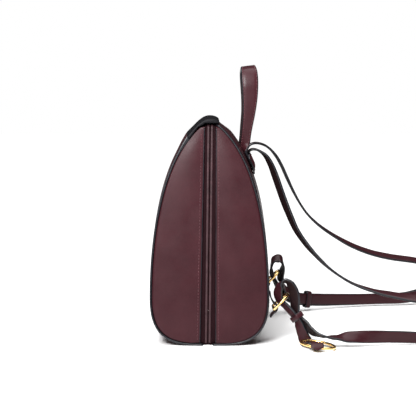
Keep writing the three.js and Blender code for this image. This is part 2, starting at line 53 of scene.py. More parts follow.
# ---- driving dimensions, the frame's own but for a slightly thicker wire ----
BASE_HALF_WIDTH = 115
SIDE_LEAN = 0.1285
LEATHER = 2.2
LINING = 0.9
GAP = 0.35
BINDING = 2.6
GUSSET_INSET = 1.2
ZIP_ROOF = 278.4
SPLIT_Y = -2.2
SPLIT_LEAN = 0.0118
FOLD_HALF = 5.8
FOLD_SHORT = 7.5
STRAP_WIDTH = 16
STRAP_THICK = 3
RING_WIRE = 1.75
STITCH_PITCH = 4.0
SIDES = (("r", 1), ("l", -1))
HALVES = (("front", -1), ("back", 1))
ROOT, FRONT = "back_shell", "front_shell"


def unit(v):
    v = np.asarray(v, float)
    return v / max(np.linalg.norm(v), 1e-12)


def ramp(a, b, x):
    t = np.clip((np.asarray(x, float) - a) / (b - a), 0, 1)
    return t * t * (3 - 2 * t)


def half_width(z):
    return BASE_HALF_WIDTH - SIDE_LEAN * z


def split_y(z):
    return SPLIT_Y + SPLIT_LEAN * z


def zip_half(z):
    return 9.7 - 0.009 * z


# ---- materials ----
def material(name, colour, roughness, metallic=0.0, **sockets):
    """A Principled material with its node tree, ready for texture nodes."""
    made = bpy.data.materials.new(name)
    made.use_nodes = True
    shader = made.node_tree.nodes["Principled BSDF"]
    shader.inputs["Base Color"].default_value = (*colour, 1)
    shader.inputs["Roughness"].default_value = roughness
    shader.inputs["Metallic"].default_value = metallic
    for socket, value in sockets.items():
        shader.inputs[socket.replace("_", " ")].default_value = value
    return made


class Nodes:
    """Short calls for adding linked shader nodes in object space."""

    def __init__(self, made):
        self.tree = made.node_tree
        self.shader = self.tree.nodes["Principled BSDF"]
        self.place = self.tree.nodes.new("ShaderNodeTexCoord").outputs["Object"]

    def link(self, source, target):
        self.tree.links.new(source, target)

    def noise(self, scale, detail=3.0, roughness=0.55):
        node = self.tree.nodes.new("ShaderNodeTexNoise")
        node.inputs["Scale"].default_value = scale
        node.inputs["Detail"].default_value = detail
        node.inputs["Roughness"].default_value = roughness
        self.link(self.place, node.inputs["Vector"])
        return node.outputs["Fac"]

    def cells(self, scale):
        node = self.tree.nodes.new("ShaderNodeTexVoronoi")
        node.inputs["Scale"].default_value = scale
        self.link(self.place, node.inputs["Vector"])
        return node.outputs["Distance"]

    def stripes(self, scale, direction, distortion):
        node = self.tree.nodes.new("ShaderNodeTexWave")
        node.bands_direction = direction
        node.inputs["Scale"].default_value = scale
        node.inputs["Distortion"].default_value = distortion
        self.link(self.place, node.inputs["Vector"])
        return node.outputs["Fac"]

    def between(self, factor, low, high, ends=(0.3, 0.7)):
        """A colour that goes from low to high as the factor goes across ends."""
        node = self.tree.nodes.new("ShaderNodeValToRGB")
        for element, place, colour in zip(node.color_ramp.elements, ends, (low, high)):
            element.position = place
            element.color = (*colour, 1)
        self.link(factor, node.inputs["Fac"])
        return node.outputs["Color"]

    def spread(self, factor, low, high):
        node = self.tree.nodes.new("ShaderNodeMapRange")
        node.inputs["From Min"].default_value = 0.25
        node.inputs["From Max"].default_value = 0.75
        node.inputs["To Min"].default_value = low
        node.inputs["To Max"].default_value = high
        self.link(factor, node.inputs["Value"])
        return node.outputs["Result"]

    def combine(self, operation, a, b):
        node = self.tree.nodes.new("ShaderNodeMath")
        node.operation = operation
        for socket, value in zip(node.inputs, (a, b)):
            if isinstance(value, (int, float)):
                socket.default_value = value
            else:
                self.link(value, socket)
        return node.outputs["Value"]

    def bump(self, height, strength, distance):
        node = self.tree.nodes.new("ShaderNodeBump")
        node.inputs["Strength"].default_value = strength
        node.inputs["Distance"].default_value = distance
        self.link(height, node.inputs["Height"])
        self.link(node.outputs["Normal"], self.shader.inputs["Normal"])


def leather(name, low, high, roughness, grain, specular):
    """Fine-grained leather: pebbles, creases, and slow changes of tone and gloss."""
    made = material(name, low, roughness, Specular_IOR_Level=specular)
    n = Nodes(made)
    tone = n.noise(22, 4, 0.6)
    mottle = n.noise(420, 3, 0.6)
    mixed = n.combine("ADD", n.combine("MULTIPLY", tone, 0.75), n.combine("MULTIPLY", mottle, 0.25))
    n.link(n.between(mixed, low, high), n.shader.inputs["Base Color"])
    n.link(n.spread(n.noise(60, 4), roughness - 0.05, roughness + 0.07), n.shader.inputs["Roughness"])
    pebbles = n.cells(1150)
    creases = n.noise(160, 5, 0.6)
    height = n.combine("ADD", pebbles, n.combine("MULTIPLY", creases, 1.4))
    n.bump(height, grain, 0.0004)
    return made


def edge_paint(name, colour, roughness):
    """Edge paint, bound edges and nylon: dark and a little uneven."""
    made = material(name, colour, roughness, Specular_IOR_Level=0.3)
    n = Nodes(made)
    brighter = [2.2 * c + 0.004 for c in colour]
    n.link(n.between(n.noise(90, 4), colour, brighter), n.shader.inputs["Base Color"])
    n.link(n.spread(n.noise(220, 3), roughness - 0.08, roughness + 0.1), n.shader.inputs["Roughness"])
    n.bump(n.noise(500, 3), 0.2, 0.0003)
    return made


WOVEN_SPECULAR = 0.1


def woven(name, low, high, scale, roughness=0.85, sheen=0.2):
    """Cloth with a diagonal twill: two crossing sets of stripes."""
    made = material(name, low, roughness, Sheen_Weight=sheen, Sheen_Roughness=0.5,
                    Specular_IOR_Level=WOVEN_SPECULAR)
    n = Nodes(made)
    warp = n.stripes(scale, "DIAGONAL", 0.6)
    weft = n.stripes(scale * 0.8, "Z", 0.4)
    weave = n.combine("MULTIPLY", warp, weft)
    shade = n.combine("ADD", n.combine("MULTIPLY", weave, 0.6), n.combine("MULTIPLY", n.noise(35), 0.5))
    n.link(n.between(shade, low, high, (0.15, 0.8)), n.shader.inputs["Base Color"])
    n.bump(weave, 0.5, 0.0003)
    return made


def metal(name, low, high, roughness):
    made = material(name, low, roughness, 1.0)
    n = Nodes(made)
    n.link(n.between(n.noise(55, 4), low, high), n.shader.inputs["Base Color"])
    n.link(n.spread(n.noise(700, 4, 0.7), roughness - 0.05, roughness + 0.09), n.shader.inputs["Roughness"])
    n.bump(n.noise(900, 3), 0.05, 0.0002)
    return made


BURGUNDY = leather("burgundy_leather", (0.022, 0.0048, 0.007), (0.034, 0.0086, 0.0115), 0.36, 0.14, 0.15)
INNER = leather("dark_inner_leather", (0.006, 0.0022, 0.0025), (0.012, 0.0045, 0.005), 0.62, 0.5, 0.15)
BLACK = leather("black_leather", (0.0015, 0.0015, 0.0022), (0.004, 0.0036, 0.005), 0.5, 0.2, 0.1)
PAINT = edge_paint("black_edge_paint", (0.002, 0.002, 0.0035), 0.36)
TAPE = woven("zip_tape_weave", (0.006, 0.0012, 0.002), (0.014, 0.0028, 0.0045), 900, 0.9, 0.0)
TEETH = edge_paint("zip_coil_nylon", (0.014, 0.0032, 0.0048), 0.55)
THREAD = woven("burgundy_thread", (0.05, 0.008, 0.013), (0.1, 0.018, 0.026), 1600, 0.7)
CLOTH = woven("lining_twill", (0.032, 0.019, 0.02), (0.075, 0.05, 0.05), 520)
BOARD = woven("fibre_board", (0.1, 0.07, 0.05), (0.2, 0.15, 0.1), 260, 0.95, 0)
GOLD = metal("gold_plating", (0.83, 0.53, 0.19), (0.95, 0.67, 0.3), 0.2)


# ---- mesh making ----
def mesh_object(name, points, faces, materials, face_slots=None):
    """A mesh from points in millimetres, with its faces turned outward."""
    mesh = bpy.data.meshes.new(name)
    mesh.from_pydata([tuple(MM * float(c) for c in p) for p in points], [], faces)
    for made in materials:
        mesh.materials.append(made)
    if face_slots is not None:
        mesh.polygons.foreach_set("material_index", face_slots)
    tool = bmesh.new()
    tool.from_mesh(mesh)
    bmesh.ops.recalc_face_normals(tool, faces=tool.faces)
    tool.to_mesh(mesh)
    tool.free()
    mesh.shade_smooth()
    made = bpy.data.objects.new(name, mesh)
    bpy.context.scene.collection.objects.link(made)
    return made


def tube(name, rings, materials, slots=None, closed=False):
    """Skin over rings of points, a closed tube or one with flat ends.

    slots gives the material of each strip along the tube.
    """
    rings = np.asarray(rings, float)
    rows, sides = rings.shape[:2]
    faces, used = [], []
    for j in range(rows if closed else rows - 1):
        for k in range(sides):
            a, b = j * sides, ((j + 1) % rows) * sides
            faces.append((a + k, a + (k + 1) % sides, b + (k + 1) % sides, b + k))
            used.append(slots[k] if slots else 0)
    if not closed:
        end = (rows - 1) * sides
        faces.append(tuple(range(sides)))
        faces.append(tuple(end + k for k in range(sides)))
        used += [max(slots) if slots else 0] * 2
    return mesh_object(name, rings.reshape(-1, 3), faces, materials, used)


def shell(name, outer, inner, materials, bulge=0.5):
    """A closed sheet between two grids of points, with rounded rims.

    materials are for the outer face, the inner face and the rims.
    """
    outer, inner = np.asarray(outer, float), np.asarray(inner, float)
    rows, columns = outer.shape[:2]
    middle = (outer + inner) / 2
    thick = np.linalg.norm(outer - inner, axis=2, keepdims=True)
    ring = [(0, i) for i in range(columns)]
    ring += [(j, columns - 1) for j in range(1, rows)]
    ring += [(rows - 1, i) for i in range(columns - 2, -1, -1)]
    ring += [(j, 0) for j in range(rows - 2, 0, -1)]
    points = [*outer.reshape(-1, 3), *inner.reshape(-1, 3)]
    faces, slots = [], []
    for j in range(rows - 1):
        for i in range(columns - 1):
            a, b = j * columns + i, (j + 1) * columns + i
            faces.append((a, a + 1, b + 1, b))
            slots.append(0)
            base = rows * columns
            faces.append((base + a, base + b, base + b + 1, base + a + 1))
            slots.append(min(1, len(materials) - 1))
    start = len(points)
    for j, i in ring:
        away = middle[j, i] - middle[min(max(j, 1), rows - 2), min(max(i, 1), columns - 2)]
        points.append(middle[j, i] + unit(away) * bulge * thick[j, i] / 2)
    count = len(ring)
    rim = len(materials) - 1
    for k in range(count):
        (ja, ia), (jb, ib) = ring[k], ring[(k + 1) % count]
        a, b = ja * columns + ia, jb * columns + ib
        m, n = start + k, start + (k + 1) % count
        faces.append((a, b, n, m))
        faces.append((m, n, rows * columns + b, rows * columns + a))
        slots += [rim, rim]
    return mesh_object(name, points, faces, materials, slots)


def finished(piece, body, slot, *nodes):
    """Rides on a body and stands for CAD nodes; its slot argument is not used."""
    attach(piece, body)
    if nodes:
        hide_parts(*nodes)
    return piece


THREAD_RADIUS = 0.36
THREAD_SINK = 0.1


def stitches(name, points, ups, body, pitch=STITCH_PITCH, length=2.9):
    """A row of thread stitches along a line of points that lies on a surface."""
    points, ups = np.asarray(points, float), np.asarray(ups, float)
    steps = np.linalg.norm(np.diff(points, axis=0), axis=1)
    reached = np.concatenate([[0], np.cumsum(steps)])
    count = int(reached[-1] // pitch)
    sides, profile = 6, ((-0.5, 0.35, -0.9), (-0.3, 1, 0), (0.3, 1, 0), (0.5, 0.35, -0.9))
    made, faces = [], []

    def on(s, table):
        return np.array([np.interp(s, reached, table[:, c]) for c in range(3)])

    for number in range(count):
        s = (number + 0.5) * reached[-1] / count
        middle, up = on(s, points), unit(on(s, ups))
        along = unit(on(s + 0.5, points) - on(s - 0.5, points))
        side = np.cross(along, up)
        start = len(made)
        for place, size, drop in profile:
            centre = middle + along * place * length + up * (THREAD_RADIUS * (0.5 + drop) - THREAD_SINK)
            for k in range(sides):
                turn = 2 * math.pi * k / sides
                spoke = side * math.cos(turn) + up * math.sin(turn)
                made.append(centre + spoke * THREAD_RADIUS * size)
        for j in range(len(profile) - 1):
            for k in range(sides):
                a, b = start + j * sides, start + (j + 1) * sides
                faces.append((a + k, a + (k + 1) % sides, b + (k + 1) % sides, b + k))
        faces.append(tuple(start + k for k in range(sides)))
        faces.append(tuple(start + (len(profile) - 1) * sides + k for k in range(sides)))
    piece = mesh_object(name, made, faces, [THREAD])
    return finished(piece, body, "leather") if body else piece


# ---- side outline of the body ----
def bezier(a, b, c, d, count=160):
    t = np.linspace(0, 1, count)[:, None]
    a, b, c, d = (np.array(p, float) for p in (a, b, c, d))
    return (1 - t) ** 3 * a + 3 * (1 - t) ** 2 * t * b + 3 * (1 - t) * t * t * c + t ** 3 * d


class Line:
    """A smooth plane curve that is asked for points by its length."""

    def __init__(self, *parts):
        points = np.concatenate(parts)
        keep = np.concatenate([[True], np.linalg.norm(np.diff(points, axis=0), axis=1) > 1e-6])
        self.points = points[keep]
        lengths = np.linalg.norm(np.diff(self.points, axis=0), axis=1)
        self.reached = np.concatenate([[0], np.cumsum(lengths)])
        self.length = self.reached[-1]

    def at(self, s):
        return np.array([np.interp(s, self.reached, self.points[:, c]) for c in range(2)])

    def tangent(self, s):
        return unit(self.at(min(s + 0.4, self.length)) - self.at(max(s - 0.4, 0)))


OUTLINE = Line(
    np.array([(2, 0), (14, 0)]),
    bezier((14, 0), (56, 0), (75.8, 15), (75.8, 60)),
    bezier((75.8, 60), (75.8, 120), (67, 230.5), (13, 276.5)),
    np.array([(13, 276.5), (9.4, 277.6)]),
)


def outline_point(sign, s, push):
    """(y, z) on the outline, pushed out along its normal; sign -1 is the front."""
    y, z = OUTLINE.at(s)
    ty, tz = OUTLINE.tangent(s)
    return sign * (y + tz * push), z - ty * push


def outline_normal(sign, s):
    ty, tz = OUTLINE.tangent(s)
    return np.array([0, sign * tz, -ty])


def at_height(z):
    """The length along the outline where a height is reached."""
    return float(np.interp(z, OUTLINE.points[:, 1], OUTLINE.reached))


BACK_SWELL, FRONT_SWELL = 4.2, 2.0


def swell(sign, s):
    z = OUTLINE.at(s)[1]
    most = BACK_SWELL if sign > 0 else FRONT_SWELL
    return most * ramp(20, 190, z) * (1 - 0.7 * ramp(262, 277, z))


def front_growth(s):
    return 2.2 * ramp(236, 266, OUTLINE.at(s)[1])


def base_start(sign):
    return FOLD_HALF + GAP + sign * SPLIT_Y - 2


FRONT_TOP_HEIGHT = 262
FRONT_TOP = at_height(FRONT_TOP_HEIGHT)


def wave(a, b, seed):
    """Slow seeded unevenness of hand-worked leather, from -1 to 1."""
    draw = np.random.RandomState(seed)
    total = 0
    for _ in range(5):
        p, q, phase = draw.uniform(0.012, 0.045, 2).tolist() + [draw.uniform(0, 6.3)]
        total += math.sin(a * p + b * q * draw.choice([-1, 1]) + phase)
    return total / 5


# ---- front and back leather ----
def wrap(name, sign, start, end, rows, columns, outer, inner, half, materials, uneven, seed):
    """A sheet round the outline; outer and inner are functions of length, half of height."""
    top, under = [], []
    for s in np.linspace(start, end, rows):
        rows_out, rows_in = [], []
        for u in np.linspace(-1, 1, columns):
            fade = (1 - abs(u) ** 3) * ramp(start, start + 30, s) * (1 - ramp(end - 16, end, s))
            crown = (1 - u * u) * swell(sign, s)
            crown += uneven * fade * wave(s, 110 * u, seed)
            for push, into in ((outer(s), rows_out), (inner(s), rows_in)):
                y, z = outline_point(sign, s, push + crown)
                z = max(z, 0)
                into.append((u * half(z), y, z))
        top.append(rows_out)
        under.append(rows_in)
    return shell(name, top, under, materials)


def body_leather():
    def panel_half(z):
        return half_width(z) - BINDING - GAP * 0.4

    front = wrap("front_leather", -1, base_start(-1), FRONT_TOP, 90, 49, front_growth,
                 lambda s: front_growth(s) - LEATHER, panel_half, [BURGUNDY, INNER, PAINT], 0.4, 3)
    finished(front, FRONT, "leather", "front_panel")
    back = wrap("back_leather", 1, base_start(1), OUTLINE.length, 96, 49, lambda s: 0,
                lambda s: -LEATHER, panel_half, [BURGUNDY, INNER, PAINT], 0.5, 8)
    finished(back, ROOT, "leather", "back_panel")


def bead(name, centres, normals, sides_way, width, depth, materials, power=2.6, sides=14):
    """A rounded bar along a line: its section is a soft-cornered rectangle."""
    rings = []
    for centre, normal, way, w, d in zip(centres, normals, sides_way, width, depth):
        ring = []
        for k in range(sides):
            turn = 2 * math.pi * (k + 0.5) / sides
            c, s = math.cos(turn), math.sin(turn)
            cx = math.copysign(abs(c) ** (2 / power), c)
            sx = math.copysign(abs(s) ** (2 / power), s)
            ring.append(np.asarray(centre) + np.asarray(way) * cx * w / 2 + np.asarray(normal) * sx * d / 2)
        rings.append(ring)
    return tube(name, rings, materials)


def bindings():
    """Black bound edges where each side panel meets the wrap."""
    for suffix, side in SIDES:
        for half, sign in HALVES:
            end = FRONT_TOP if sign < 0 else OUTLINE.length - 1
            stations = np.linspace(base_start(sign), end, 120)
            centres, normals, widths, depths = [], [], [], []
            for s in stations:
                extra = front_growth(s) if sign < 0 else 0
                deep = BINDING + (extra + 1.2 * ramp(236, 266, OUTLINE.at(s)[1]) if sign < 0 else 0)
                y, z = outline_point(sign, s, extra - deep / 2)
                z = max(z, BINDING / 2)
                x = side * (half_width(z) - BINDING / 2)
                centres.append((x, y, z))
                normals.append(outline_normal(sign, s))
                widths.append(BINDING + 0.1)
                depths.append(deep)
            ways = [(1, 0, 0)] * len(centres)
            piece = bead(f"edge_{half}_{suffix}", centres, normals, ways, widths, depths, [PAINT])
            body = ROOT if sign > 0 else FRONT
            finished(piece, body, "black_leather", f"binding_{half}_{suffix}")


# ---- side panels ----
def side_point(side, y, z, inset):
    return np.array((side * (half_width(z) - inset), y, z))


def side_patch(sign, push, top, zip_gap, rows, columns):
    """A grid of (y, z) over a side panel, from its rim to its zip edge."""
    start, end = 0.05 * OUTLINE.length, at_height(top)
    low, high = outline_point(sign, start, push)[1], outline_point(sign, end, push)[1]
    grid = []
    for j, s in enumerate(np.linspace(start, end, rows)):
        rim = np.array(outline_point(sign, s, push))
        z = low + (high - low) * j / (rows - 1)
        edge = np.array((split_y(z) + sign * (zip_half(z) + zip_gap), z))
        grid.append([rim + (edge - rim) * u for u in np.linspace(0, 1, columns)])
    return np.array(grid)


SIDE_TOP = 277.5


def side_panels():
    for suffix, side in SIDES:
        for half, sign in HALVES:
            body = ROOT if sign > 0 else FRONT
            push = -BINDING - GAP - (0.6 if sign < 0 else 0)
            grid = side_patch(sign, push, SIDE_TOP, 0, 70, 26)
            seed = 11 + sign + 5 * side
            outer, inner = [], []
            for row in grid:
                out_row, in_row = [], []
                for i, (y, z) in enumerate(row):
                    u = i / (len(row) - 1)
                    plump = 0.9 * math.sin(math.pi * u) * ramp(6, 60, z) * (1 - ramp(240, 274, z))
                    plump += 0.35 * math.sin(math.pi * u) * wave(y * 2, z, seed)
                    out_row.append(side_point(side, y, z, GUSSET_INSET - plump))
                    in_row.append(side_point(side, y, z, GUSSET_INSET + LEATHER - plump))
                outer.append(out_row)
                inner.append(in_row)
            piece = shell(f"side_leather_{half}_{suffix}", outer, inner, [BURGUNDY, INNER, BURGUNDY])
            finished(piece, body, "leather", f"gusset_{half}_{suffix}")
            zip_edge(side, suffix, half, sign, body)
            lining_side(side, suffix, half, sign, body)


def zip_edge(side, suffix, half, sign, body):
    """Painted edge and stitch row along the opening of a side panel."""
    heights = np.linspace(3.4, 273, 90)
    out = unit((side, 0, SIDE_LEAN))
    centres = [side_point(side, split_y(z) + sign * (zip_half(z) + 0.5), z, GUSSET_INSET + 0.75)
               for z in heights]
    ways = [(0, 1, 0)] * len(centres)
    piece = bead(f"painted_edge_{half}_{suffix}", centres, [out] * len(centres), ways,
                 [1.5] * len(centres), [2.3] * len(centres), [PAINT], 2.2, 10)
    finished(piece, body, "black_leather")
    line = [side_point(side, split_y(z) + sign * (zip_half(z) + 3.7), z, GUSSET_INSET - 0.25)
            for z in np.linspace(7, 266, 60)]
    stitches(f"zip_stitches_{half}_{suffix}", line, [out] * len(line), body)


def lining_side(side, suffix, half, sign, body):
    grid = side_patch(sign, -BINDING - 3, 262, 6, 40, 14)
    depth = GUSSET_INSET + LEATHER + GAP
    outer = [[side_point(side, y, z, depth) for y, z in row] for row in grid]
    inner = []
    for row in grid:
        line = []
        for i, (y, z) in enumerate(row):
            hang = 0.5 * math.sin(math.pi * i / (len(row) - 1)) * (1 + wave(3 * y, z, 31 + side))
            line.append(side_point(side, y, z, depth + LINING + hang))
        inner.append(line)
    piece = shell(f"lining_{half}_{suffix}", outer, inner, [CLOTH])
    finished(piece, body, "lining", f"lining_side_{half}_{suffix}")


def linings():
    outer = -LEATHER - 2 * GAP

    def half(z):
        return half_width(z) - GUSSET_INSET - LEATHER - 2.4

    start = 0.04 * OUTLINE.length
    for name, sign, end, node, body in (
        ("front_lining_cloth", -1, FRONT_TOP - 0.02 * OUTLINE.length, "lining_front", FRONT),
        ("back_lining_cloth", 1, 0.965 * OUTLINE.length, "lining_back", ROOT),
    ):
        piece = wrap(name, sign, start, end, 60, 33, lambda s: outer, lambda s: outer - LINING, half,
                     [CLOTH], 0.3, 21)
        finished(piece, body, "lining", node)


# ---- zip ----
ZIP_FOOT = 3.2
ZIP_CORNER = 7
TAPE_REACH, TAPE_REACH_AT_RIDGE = 12.6, 6.8
TAPE_THICK = 0.9
COIL_PITCH = 1.7
COIL_STEPS = 4


def zip_path(inset, step):
    """Points up one side, over the ridge and down the other, with their outward directions."""
    top = ZIP_ROOF - inset

    def flank(z):
        return half_width(z) - inset - 3

    points, outs = [], []
    slant = unit((1, SIDE_LEAN))
    for z in np.arange(ZIP_FOOT, top - ZIP_CORNER, step):
        points.append((flank(z), z))
        outs.append(slant)
    shoulder = flank(top - ZIP_CORNER)
    for turn in np.linspace(0.06, math.pi / 2, max(6, int(11 / step))):
        out = np.array((math.cos(turn), math.sin(turn)))
        points.append((shoulder - ZIP_CORNER * (1 - out[0]), top - ZIP_CORNER + ZIP_CORNER * out[1]))
        outs.append(out)
    across = shoulder - ZIP_CORNER
    places = np.linspace(across, -across, int(2 * across / step))[1:-1]
    middle = [((x, top), np.array((0, 1))) for x in places]
    points += [p for p, _ in middle]
    outs += [o for _, o in middle]
    mirror = list(zip(points, outs))[: len(points) - len(middle)]
    points += [(-p[0], p[1]) for p, _ in reversed(mirror)]
    outs += [np.array((-o[0], o[1])) for _, o in reversed(mirror)]
    return np.array(points), np.array(outs)


def zipper():
    for half, sign in HALVES:
        body = ROOT if sign > 0 else FRONT
        points, outs = zip_path(1.2, 4)
        outer, inner = [], []
        for (x, z), out in zip(points, outs):
            far = TAPE_REACH_AT_RIDGE if z > FRONT_TOP_HEIGHT else TAPE_REACH
            row_out, row_in = [], []
            for u in np.linspace(0, 1, 8):
                y = split_y(z) + sign * (GAP + (far - GAP) * u)
                ridge = 0.35 * math.exp(-((u * far - 5.6) / 0.7) ** 2)
                row_out.append((x + out[0] * ridge, y, z + out[1] * ridge))
                row_in.append((x - TAPE_THICK * out[0], y, z - TAPE_THICK * out[1]))
            outer.append(row_out)
            inner.append(row_in)
        piece = shell(f"zip_tape_cloth_{half}", outer, inner, [TAPE])
        finished(piece, body, "zip_tape", f"zip_tape_{half}")
        coil(half, sign, body)


def coil(half, sign, body):
    """One half of the zip: a ribbed nylon coil."""
    points, outs = zip_path(0.55, COIL_PITCH / COIL_STEPS)
    rings = []
    for j, ((x, z), out) in enumerate(zip(points, outs)):
        beat = 0.5 + 0.5 * math.cos(2 * math.pi * j / COIL_STEPS)
        centre = np.array((x, split_y(z) + sign * 2.3, z))
        up, way = np.array((out[0], 0, out[1])), np.array((0, 1, 0))
        ring = []
        for k in range(10):
            turn = 2 * math.pi * (k + 0.5) / 10
            r = 1.45 + 0.17 * beat
            ring.append(centre + way * math.cos(turn) * r + up * math.sin(turn) * (0.55 + 0.16 * beat))
        rings.append(ring)
    piece = tube(f"zip_teeth_{half}", rings, [TEETH])
    finished(piece, body, "zip_coil", f"zip_coil_{half}")


# ---- ridge cap ----
def ridge_cap():
    """Black leather over the zip at the ridge, a crescent seen from the side."""
    grown = front_growth(FRONT_TOP)
    start = outline_point(-1, FRONT_TOP, grown)
    crest = Line(
        bezier((start[0] + 0.3, start[1] + 0.4), (-20, 272.5), (-11, 285), (0, 285.2)),
        bezier((0, 285.2), (5, 285.3), (9.5, 284), (12.4, 281.4)),
    )
    belly = Line(
        np.array([(start[0] + 3.6, start[1] - 3.8), (-14.5, 274.4)]),
        np.array([(-14.5, 274.4), (-7.6, ZIP_ROOF - 0.9)]),
        np.array([(-7.6, ZIP_ROOF - 0.9), (-6.6, ZIP_ROOF + 0.8)]),
        np.array([(-6.6, ZIP_ROOF + 0.8), (12.4, ZIP_ROOF + 0.8)]),
    )
    outer, inner = [], []
    for u in np.linspace(-1, 1, 41):
        outer_row, inner_row = [], []
        for t in np.linspace(0, 1, 40):
            rise = (1 - u * u) * (1.3 + 0.7 * (1 - ramp(0, 0.3, t)))
            lift = rise * (1 - t / 0.35) if t < 0.35 else 0
            round_off = 0.8 * abs(u) ** 12
            y, z = crest.at(t * crest.length)
            v, w = belly.at(t * belly.length)
            outer_row.append((u * (half_width(z) + 0.2), y - rise * 0.6 * (1 - t),
                              z + rise * 0.8 - round_off))
            inner_row.append((u * (half_width(w) + 0.2), v - lift * 0.6, w + lift * 0.8))
        outer.append(outer_row)
        inner.append(inner_row)
    piece = shell("ridge_leather", outer, inner, [BLACK], 0.35)
    finished(piece, FRONT, "black_leather", "ridge_cap")


# ---- inside ----
def soft_box(name, low, high, edge, materials):
    """A box with rounded edges, from its lowest and highest corners."""
    tool = bmesh.new()
    bmesh.ops.create_cube(tool, size=1)
    low, high = np.array(low, float), np.array(high, float)
    for vertex in tool.verts:
        vertex.co = Vector((low + (high - low) * (np.array(vertex.co) + 0.5)) * MM)
    bmesh.ops.bevel(tool, geom=tool.edges[:], offset=edge * MM, segments=3, profile=0.5, affect="EDGES")
    mesh = bpy.data.meshes.new(name)
    tool.to_mesh(mesh)
    tool.free()
    for made in materials:
        mesh.materials.append(made)
    mesh.shade_smooth()
    made = bpy.data.objects.new(name, mesh)
    bpy.context.scene.collection.objects.link(made)
    return made


def base_and_inside():
    half = half_width(0) - FOLD_SHORT
    low, high = (-half, SPLIT_Y - FOLD_HALF, 0), (half, SPLIT_Y + FOLD_HALF, LEATHER)
    fold = soft_box("base_fold_leather", low, high, 0.7, [BURGUNDY])
    finished(fold, ROOT, "leather", "base_fold")
    board = soft_box("base_stiffener", (-95, 9, 5.4), (95, 29, 7.4), 0.5, [BOARD])
    finished(board, ROOT, "board", "base_board")
    pocket()


POCKET_HALF = 70
POCKET_LOW, POCKET_TOP = 64, 178


def pocket():
    """A slip pocket on the back lining, a little loose at its mouth."""
    outer, inner = [], []
    for s in np.linspace(at_height(POCKET_LOW), at_height(POCKET_TOP), 26):
        row_out, row_in = [], []
        for u in np.linspace(-1, 1, 29):
            gap = LEATHER + GAP + LINING + GAP + 0.6 * (1 - u * u)
            crown = (1 - u * u) * swell(1, s)
            looseness = ramp(at_height(120), at_height(POCKET_TOP), s) * (1 + 0.5 * wave(s, 90 * u, 5))
            sag = 1.6 * (1 - u * u) * looseness
            for push, into in ((-0.4, row_out), (-1.4, row_in)):
                y, z = outline_point(1, s, crown - gap + push - sag)
                into.append((POCKET_HALF * u, y, z))
        outer.append(row_out)
        inner.append(row_in)
    piece = shell("slip_pocket_cloth", outer, inner, [CLOTH])
    finished(piece, ROOT, "lining", "inner_pocket")
    mouth = inner[-1]
    hem = bead("slip_pocket_hem", mouth, [(0, 0, 1)] * len(mouth), [(0, 1, 0)] * len(mouth),
               [2.0] * len(mouth), [3.4] * len(mouth), [INNER])
    finished(hem, ROOT, "leather")


# ---- straps of leather ----
class Route:
    """A centripetal Catmull-Rom line through stations [x, y, z, width direction]."""

    def __init__(self, stations):
        self.points = [np.array(s[:3], float) for s in stations]
        self.leans = [unit(s[3]) for s in stations]

    def at(self, t):
        count = len(self.points)
        place = t * (count - 1)
        i = min(int(place), count - 2)
        w = place - i
        b, c = self.points[i], self.points[i + 1]
        a = self.points[i - 1] if i > 0 else 2 * b - c
        d = self.points[i + 2] if i + 2 < count else 2 * c - b
        k0, k1, k2 = (max(np.linalg.norm(q - p) ** 0.5, 1e-4) for p, q in ((a, b), (b, c), (c, d)))
        m1 = ((b - a) / k0 - (c - a) / (k0 + k1) + (c - b) / k1) * k1
        m2 = ((c - b) / k1 - (d - b) / (k1 + k2) + (d - c) / k2) * k1
        return ((2 * w ** 3 - 3 * w * w + 1) * b + (w ** 3 - 2 * w * w + w) * m1
                + (3 * w * w - 2 * w ** 3) * c + (w ** 3 - w * w) * m2)

    def frame(self, t):
        """Middle, width direction, face direction and tangent."""
        tangent = unit(self.at(min(t + 1e-4, 1)) - self.at(max(t - 1e-4, 0)))
        place = t * (len(self.points) - 1)
        i = min(int(place), len(self.points) - 2)
        blend = float(ramp(0, 1, place - i))
        lean = self.leans[i] * (1 - blend) + self.leans[i + 1] * blend
        across = unit(lean - tangent * np.dot(lean, tangent))
        return self.at(t), across, np.cross(across, tangent), tangent


# A strap's section, all round: share of half width, share of half thickness, what it is.
OUTER_FACE, INNER_FACE, EDGE = 0, 1, 2
SECTION = (
    (0.9, 1.0, EDGE), (0.97, 0.8, EDGE), (1.0, 0.3, EDGE), (1.0, -0.3, EDGE), (0.97, -0.8, EDGE),
    (0.9, -1.0, INNER_FACE), (0.45, -1.02, INNER_FACE), (0, -1.03, INNER_FACE), (-0.45, -1.02, INNER_FACE),
    (-0.9, -1.0, EDGE), (-0.97, -0.8, EDGE), (-1.0, -0.3, EDGE), (-1.0, 0.3, EDGE), (-0.97, 0.8, EDGE),
    (-0.9, 1.0, OUTER_FACE), (-0.45, 1.08, OUTER_FACE), (0, 1.1, OUTER_FACE), (0.45, 1.08, OUTER_FACE),
)


def strap(name, route, width, thickness, count, materials):
    """A flat leather strap with its two faces and its painted edges."""
    rings = []
    for t in np.linspace(0, 1, count):
        centre, across, face, _ = route.frame(t)
        w, f = width(t) / 2, thickness(t) / 2
        rings.append([centre + across * a * w + face * b * f for a, b, _ in SECTION])
    slots = [kind for _, _, kind in SECTION]
    return tube(name, rings, materials, slots)


HANDLE_HALF = 42
HANDLE_TOP = 351
HANDLE_NARROW = 11.5
HANDLE_FOOT = (47.2, 253.6)
HANDLE_ROOT = (224, 231, 238)


